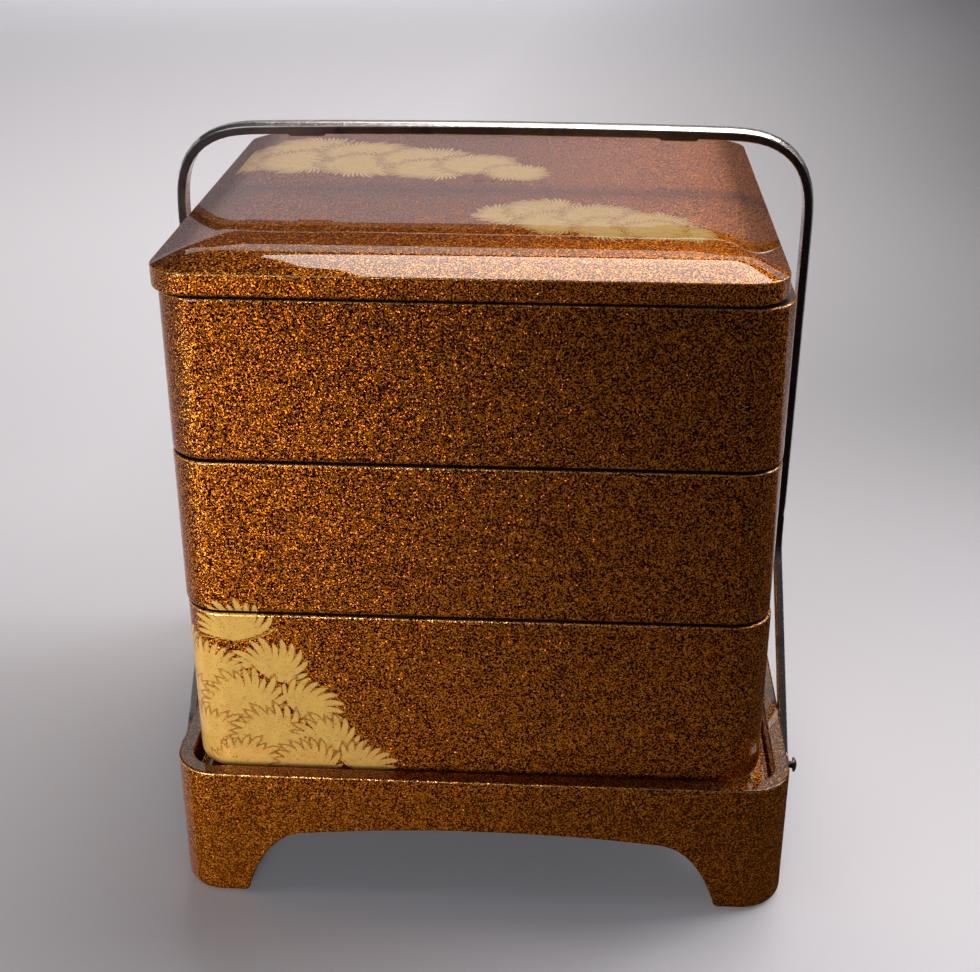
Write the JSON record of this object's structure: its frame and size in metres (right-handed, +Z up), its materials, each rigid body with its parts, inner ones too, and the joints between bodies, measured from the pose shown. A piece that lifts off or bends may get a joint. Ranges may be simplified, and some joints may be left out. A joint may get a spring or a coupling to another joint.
{
  "type": "tiered picnic box",
  "caption": "Stacked lacquered food boxes with a shared lid on an arched, footed tray, carried by a flat metal bail with forked legs.",
  "frame": {"origin": "centre of the tray's plan at the level the feet stand on", "axes": "+X along the handle's bar towards the right side, +Y to the back, +Z up; the front faces -Y"},
  "size_m": [0.2074, 0.187, 0.2319],
  "materials": {
    "lacquer": "amber lacquer with sprinkled gold, glossy",
    "handle_metal": "tarnished silver colour, smooth",
    "pin_metal": "dark tarnished"
  },
  "bodies": {
    "root": {"Tray": "lacquer", "Bottom_tier": "lacquer", "Middle_tier": "lacquer", "Top_tier": "lacquer", "Lid": "lacquer", "Handle": "handle_metal", "Handle_pin_front_left": "pin_metal", "Handle_pin_front_right": "pin_metal", "Handle_pin_rear_left": "pin_metal", "Handle_pin_rear_right": "pin_metal"}
  },
  "joints": []
}
